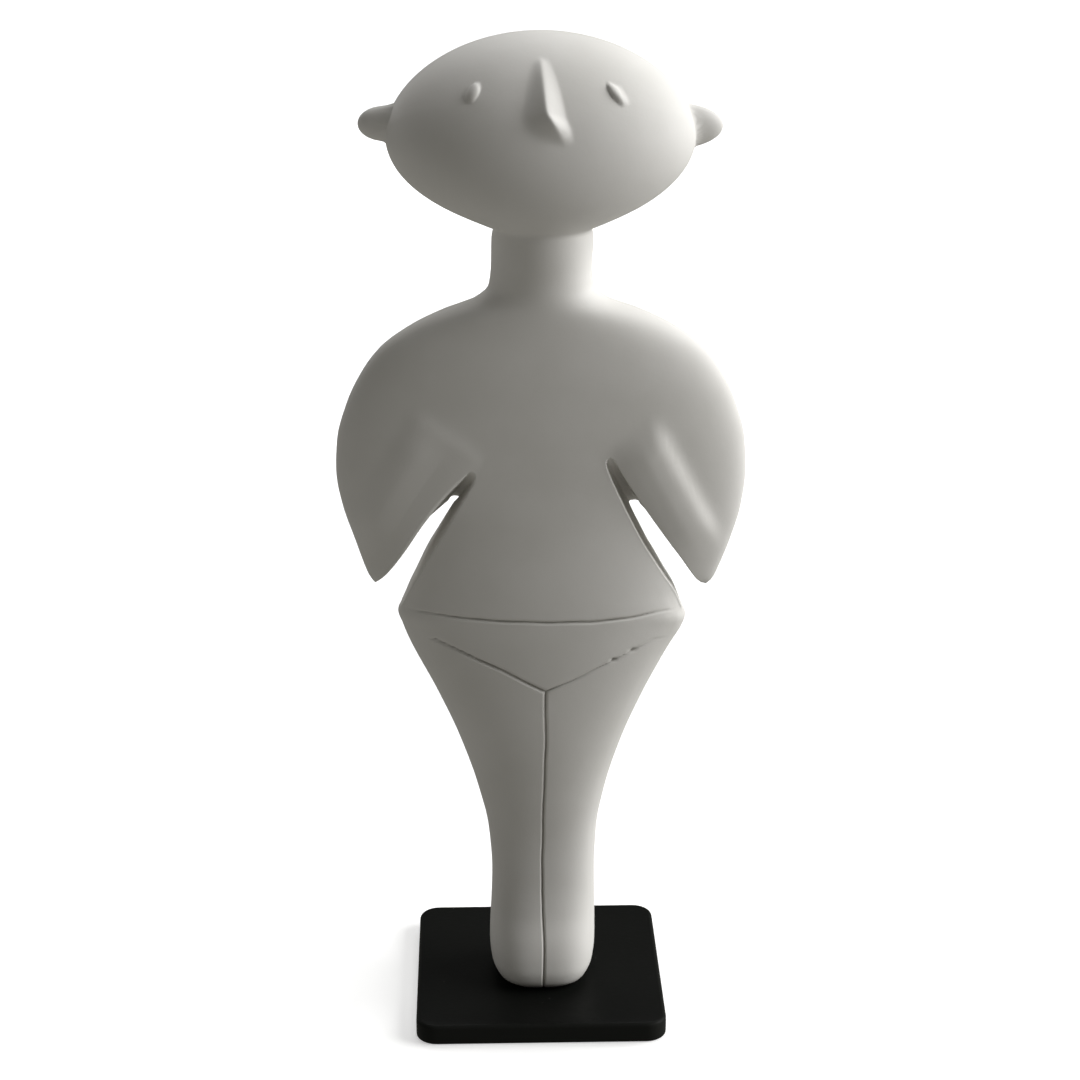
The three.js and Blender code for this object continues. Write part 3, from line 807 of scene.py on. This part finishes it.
skins = [upper_rings, trunk_rings, right_rings, left_rings]
sizes = [rings.shape[0] * rings.shape[1] for rings in skins]
starts = np.r_[0, np.cumsum(sizes)[:-1]]
figure_points = np.concatenate([rings.reshape(-1, 3) for rings in skins])
figure_faces = np.concatenate([start + grid_faces(*rings.shape[:2]) for start, rings in zip(starts, skins)])
scored = incised(figure_points[:, 0], figure_points[:, 2]) * (figure_points[:, 1] < 0)
# Painted shade: darker up the lowest few millimetres, where the foot meets the plate.
foot_shade = FOOT_SHADE * (1 - ease(*FOOT_SHADE_RISE, figure_points[:, 2]))
grime = np.maximum(scored, foot_shade)
figure_points = hand_made(figure_points) * MM + np.array([0, 0, sole_height])
figure = lay_mesh("cast_figure", figure_points, figure_faces, FIGURE_WELD, grime=grime)

CAST_WHITE = (0.80, 0.787, 0.757, 1)
CAST_CLOUD = (0.745, 0.733, 0.698, 1)
CAST_DIRT_AND_SHADE = (0.36, 0.35, 0.32, 1)
GRAIN_DEEP = 0.012 * MM
SWELL_DEEP = 0.06 * MM

cast, wire, place, shader = new_finish("matte_cast_white")
cloud = wire.noise(place, scale=38, detail=5)
grain = wire.noise(place, scale=1400, detail=4)
swell = wire.noise(place, scale=160, detail=3)
# Dirt and painted shade darken the incised lines, and painted shade darkens the foot's lowest millimetres.
dirt_and_shade_share = wire.mask("grime").span(0.1, 0.9) * (0.45 + 0.55 * wire.noise(place, scale=210, detail=3))
tone = wire.blend(cloud.span(0.35, 0.75), CAST_WHITE, CAST_CLOUD)
tone = wire.blend(dirt_and_shade_share, tone, CAST_DIRT_AND_SHADE)
skin = wire.bump(grain, GRAIN_DEEP, wire.bump(swell, SWELL_DEEP))
feed(shader, Base_Color=tone, Roughness=0.58 + 0.12 * grain + 0.1 * dirt_and_shade_share, Normal=skin)
figure.data.materials.append(cast)
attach(figure, "root")
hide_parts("figure")


# Floor
# A plain pale studio surface under the plate, swept up all round as a paper sweep is; it is only the stage
# and no part of the figurine. It glows with painted light, dim near the middle and brighter further out.

FLOOR_FLAT = 1.6
FLOOR_BEND = 1.2
FLOOR_SPOKES = 96
FLAT_RINGS = 13
BEND_RINGS = 24
FLOOR_WELD = 1e-6
FLOOR_PALE = (0.86, 0.86, 0.855, 1)
FLOOR_SHADE = (0.84, 0.84, 0.835, 1)
FLOOR_NEAR_GLOW = (0.46, 0.46, 0.46, 1)
FLOOR_FAR_GLOW = (1, 1, 1, 1)

# A profile carried round a circle: level out to the bend, then up along a quarter circle
floor_turn = np.linspace(2 * np.pi, 0, FLOOR_SPOKES, endpoint=False)
floor_bend = np.linspace(0, np.pi / 2, BEND_RINGS + 1)[1:]
floor_flat = np.linspace(0, FLOOR_FLAT, FLAT_RINGS)
floor_out = np.concatenate([floor_flat, FLOOR_FLAT + FLOOR_BEND * np.sin(floor_bend)])
floor_rise = cad_box[0].z + np.concatenate([0 * floor_flat, FLOOR_BEND * (1 - np.cos(floor_bend))])
floor_points = np.stack([floor_out[:, None] * np.cos(floor_turn), floor_out[:, None] * np.sin(floor_turn),
                         floor_rise[:, None] + 0 * floor_turn], axis=2)
floor_faces = grid_faces(*floor_points.shape[:2])
floor = lay_mesh("studio_floor", floor_points.reshape(-1, 3), floor_faces, FLOOR_WELD)

paper, wire, place, shader = new_finish("pale_glowing_paper")
# Painted light: the floor glows, dim near the middle so the plate's shadow shows, and white further out.
far = wire.node("ShaderNodeVectorMath", {"operation": "LENGTH"}, {0: place}, out=1).span(0.1, 1.2)
tone = wire.blend(wire.noise(place, scale=6, detail=3), FLOOR_PALE, FLOOR_SHADE)
glow = wire.blend(far, FLOOR_NEAR_GLOW, FLOOR_FAR_GLOW)
feed(shader, Base_Color=tone, Roughness=0.9, Emission_Color=glow, Emission_Strength=1.0)
floor.data.materials.append(paper)
floor.visible_diffuse = False
floor.visible_glossy = False
floor.visible_shadow = False


# Studio light and camera
# A broad soft light from the right, weaker ones from above, from behind on the left and from the left, and a
# dim surround, brighter from below as over a pale floor; the camera stands where the photograph was taken
# from.


def soft_light(name, place, aim, size, power):
    """A square area light at a place, turned towards a point."""
    light = bpy.data.lights.new(name, "AREA")
    light.size = size
    light.energy = power
    lamp = bpy.data.objects.new(name, light)
    lamp.location = place
    away_from = np.array(place) - np.array(aim)
    flat = math.hypot(away_from[0], away_from[1])
    lamp.rotation_euler = (math.atan2(flat, away_from[2]), 0, math.atan2(away_from[0], -away_from[1]))
    lamp.visible_camera = False
    bpy.context.collection.objects.link(lamp)


soft_light("window_light", place=(1.15, 0.0, 0.7), aim=(0, 0, 0.14), size=1.0, power=22)
soft_light("top_light", place=(0.05, 0.7, 1.3), aim=(0, 0, 0.1), size=1.0, power=7.8)
soft_light("left_rim_light", place=(-1.0, 0.9, 0.6), aim=(0, 0, 0.14), size=0.6, power=1.2)
soft_light("left_fill_light", place=(-1.2, -0.4, 0.25), aim=(0, 0, 0.12), size=0.8, power=0.65)

SURROUND_BELOW = 0.262
SURROUND_ABOVE = 0.08
SURROUND_SOFT = 0.35
SURROUND_TINT = (1, 0.975, 0.9, 1)

surround = bpy.data.worlds.new("soft_surround")
surround.use_nodes = True
wire = Wire(surround.node_tree)
direction = wire.node("ShaderNodeTexCoord")
height = wire.node("ShaderNodeSeparateXYZ", None, {0: direction}, out=2)
feed(surround.node_tree.nodes["Background"], Color=SURROUND_TINT,
     Strength=SURROUND_BELOW + (SURROUND_ABOVE - SURROUND_BELOW) * height.span(-SURROUND_SOFT, SURROUND_SOFT))
bpy.context.scene.world = surround
bpy.context.scene.view_settings.view_transform = "Standard"

# The camera's place in metres, its height from the plate's top, degrees down and to the right, and the width
# and focal length of the photograph in its pixels
CAMERA_ABOVE = 0.3055
CAMERA_PLACE = (-0.0146, -0.5375, plate_high[2] + CAMERA_ABOVE)
CAMERA_PITCH = 19.79
CAMERA_YAW = 1.53
PHOTO_WIDTH = 1080
FOCAL_PIXELS = 2441
SENSOR = 36.0

eye = bpy.data.cameras.new("photo_camera")
eye.sensor_width = SENSOR
eye.lens = SENSOR * FOCAL_PIXELS / PHOTO_WIDTH
camera = bpy.data.objects.new("photo_camera", eye)
camera.location = CAMERA_PLACE
camera.rotation_euler = (math.radians(90 - CAMERA_PITCH), 0, math.radians(-CAMERA_YAW))
bpy.context.collection.objects.link(camera)
bpy.context.scene.camera = camera
